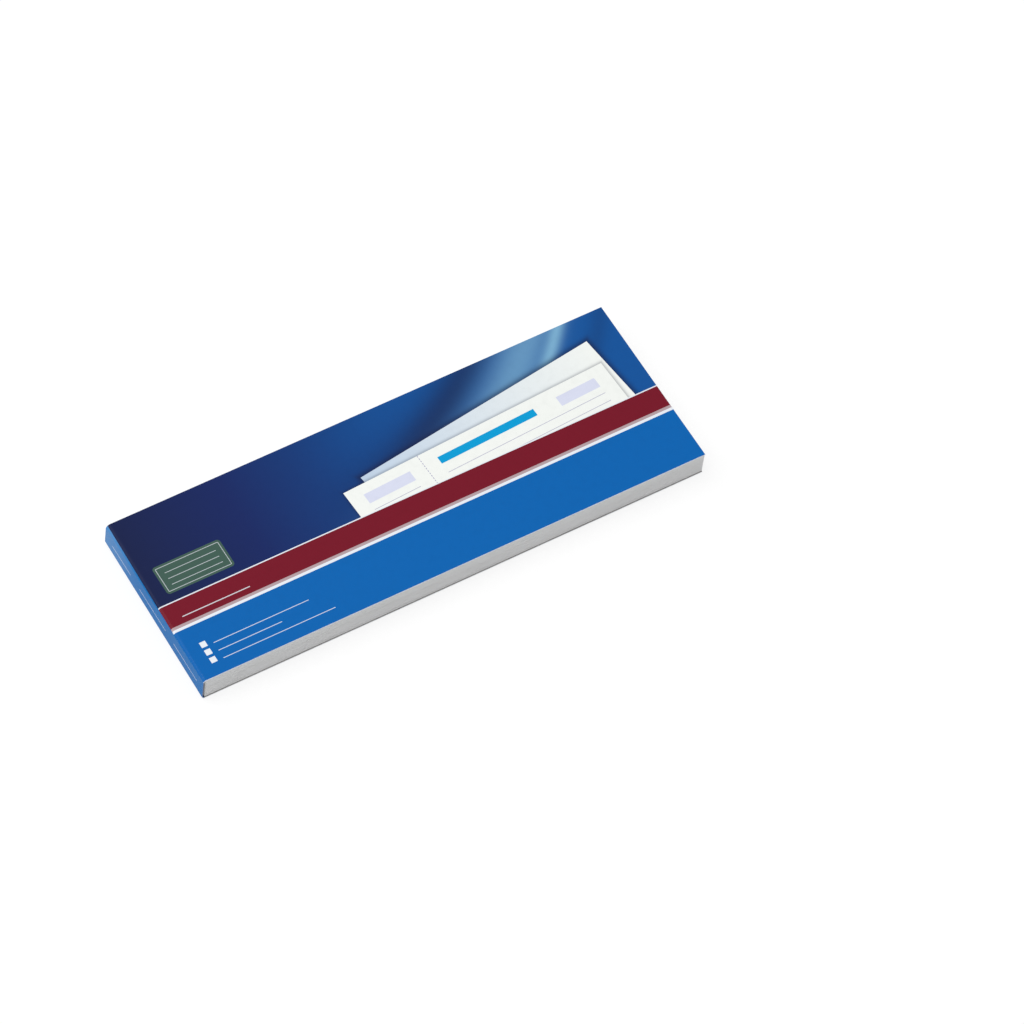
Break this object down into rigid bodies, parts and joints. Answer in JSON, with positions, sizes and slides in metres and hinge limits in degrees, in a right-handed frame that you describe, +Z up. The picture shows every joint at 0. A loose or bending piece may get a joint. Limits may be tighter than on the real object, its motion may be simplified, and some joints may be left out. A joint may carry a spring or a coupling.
{
  "type": "receipt book",
  "caption": "Strip-format receipt book: perforated forms with a control stub, glued at the short side into a folded card cover that opens like a page.",
  "frame": {"origin": "middle of the closed book's base, on the surface that it lies on", "axes": "+X along the length from the spine to the open end, +Y across to the long edge at the top of the print, +Z up through the thickness"},
  "size_m": [0.21, 0.074, 0.0116],
  "materials": {
    "front_cover_print": "satin",
    "back_cover_print": "satin",
    "spine_print": "satin",
    "padding_glue": "satin",
    "grey_board": "matte",
    "form_paper": "matte"
  },
  "bodies": {
    "book": {"spine_cover": "spine_print", "spine_glue": "padding_glue", "backing_board": "grey_board", "stub_010": "form_paper", "sheet_011": "form_paper", "sheet_012": "form_paper", "sheet_013": "form_paper", "sheet_014": "form_paper", "sheet_015": "form_paper", "sheet_016": "form_paper", "sheet_017": "form_paper", "sheet_018": "form_paper", "sheet_019": "form_paper", "sheet_020": "form_paper", "sheet_021": "form_paper", "sheet_022": "form_paper", "sheet_023": "form_paper", "sheet_024": "form_paper", "sheet_025": "form_paper", "sheet_026": "form_paper", "sheet_027": "form_paper", "sheet_028": "form_paper", "sheet_029": "form_paper", "sheet_030": "form_paper", "sheets_031_to_040": "form_paper", "sheets_041_to_050": "form_paper", "sheets_051_to_060": "form_paper", "sheets_061_to_070": "form_paper", "sheets_071_to_080": "form_paper", "sheets_081_to_090": "form_paper", "sheets_091_to_100": "form_paper"},
    "front_cover": {"front_cover": "front_cover_print"},
    "back_cover": {"back_cover": "back_cover_print"},
    "sheet_001": {"sheet_001": "form_paper"},
    "sheet_002": {"sheet_002": "form_paper"},
    "sheet_003": {"sheet_003": "form_paper"},
    "sheet_004": {"sheet_004": "form_paper"},
    "sheet_005": {"sheet_005": "form_paper"},
    "sheet_006": {"sheet_006": "form_paper"},
    "sheet_007": {"sheet_007": "form_paper"},
    "sheet_008": {"sheet_008": "form_paper"},
    "sheet_009": {"sheet_009": "form_paper"},
    "receipt": {"receipt_010": "form_paper"}
  },
  "joints": [
    {"name": "front_cover_hinge", "type": "hinge", "parent": "book", "child": "front_cover", "pos_m": [-0.105, 0, 0.0106], "axis": [0, -1, 0], "range_deg": [0, 178]},
    {"name": "back_cover_hinge", "type": "hinge", "parent": "book", "child": "back_cover", "pos_m": [-0.105, 0, 0.001], "axis": [0, 1, 0], "range_deg": [0, 179.7]},
    {"name": "receipt_tear_off", "type": "slide", "parent": "book", "child": "receipt", "axis": [1, 0, 0], "range_m": [0, 0.165]},
    {"name": "sheet_001_turn", "type": "hinge", "parent": "book", "child": "sheet_001", "pos_m": [-0.104, 0, 0.01125], "axis": [0, -1, 0], "range_deg": [0, 173.52]},
    {"name": "sheet_002_turn", "type": "hinge", "parent": "book", "child": "sheet_002", "pos_m": [-0.104, 0, 0.01125], "axis": [0, -1, 0], "range_deg": [0, 172]},
    {"name": "sheet_003_turn", "type": "hinge", "parent": "book", "child": "sheet_003", "pos_m": [-0.104, 0, 0.01125], "axis": [0, -1, 0], "range_deg": [0, 168.62]},
    {"name": "sheet_004_turn", "type": "hinge", "parent": "book", "child": "sheet_004", "pos_m": [-0.104, 0, 0.01125], "axis": [0, -1, 0], "range_deg": [0, 163.78]},
    {"name": "sheet_005_turn", "type": "hinge", "parent": "book", "child": "sheet_005", "pos_m": [-0.104, 0, 0.01125], "axis": [0, -1, 0], "range_deg": [0, 157.62]},
    {"name": "sheet_006_turn", "type": "hinge", "parent": "book", "child": "sheet_006", "pos_m": [-0.104, 0, 0.01125], "axis": [0, -1, 0], "range_deg": [0, 150.3]},
    {"name": "sheet_007_turn", "type": "hinge", "parent": "book", "child": "sheet_007", "pos_m": [-0.104, 0, 0.01125], "axis": [0, -1, 0], "range_deg": [0, 141.87]},
    {"name": "sheet_008_turn", "type": "hinge", "parent": "book", "child": "sheet_008", "pos_m": [-0.104, 0, 0.01125], "axis": [0, -1, 0], "range_deg": [0, 132.38]},
    {"name": "sheet_009_turn", "type": "hinge", "parent": "book", "child": "sheet_009", "pos_m": [-0.104, 0, 0.01125], "axis": [0, -1, 0], "range_deg": [0, 121.9]}
  ],
  "couplings": [
    {"joint": "sheet_001_turn", "follows": "front_cover_hinge", "ratio": 0.972},
    {"joint": "sheet_002_turn", "follows": "front_cover_hinge", "ratio": 0.9635},
    {"joint": "sheet_003_turn", "follows": "front_cover_hinge", "ratio": 0.9445},
    {"joint": "sheet_004_turn", "follows": "front_cover_hinge", "ratio": 0.9173},
    {"joint": "sheet_005_turn", "follows": "front_cover_hinge", "ratio": 0.8827},
    {"joint": "sheet_006_turn", "follows": "front_cover_hinge", "ratio": 0.8416},
    {"joint": "sheet_007_turn", "follows": "front_cover_hinge", "ratio": 0.7942},
    {"joint": "sheet_008_turn", "follows": "front_cover_hinge", "ratio": 0.7409},
    {"joint": "sheet_009_turn", "follows": "front_cover_hinge", "ratio": 0.682}
  ]
}
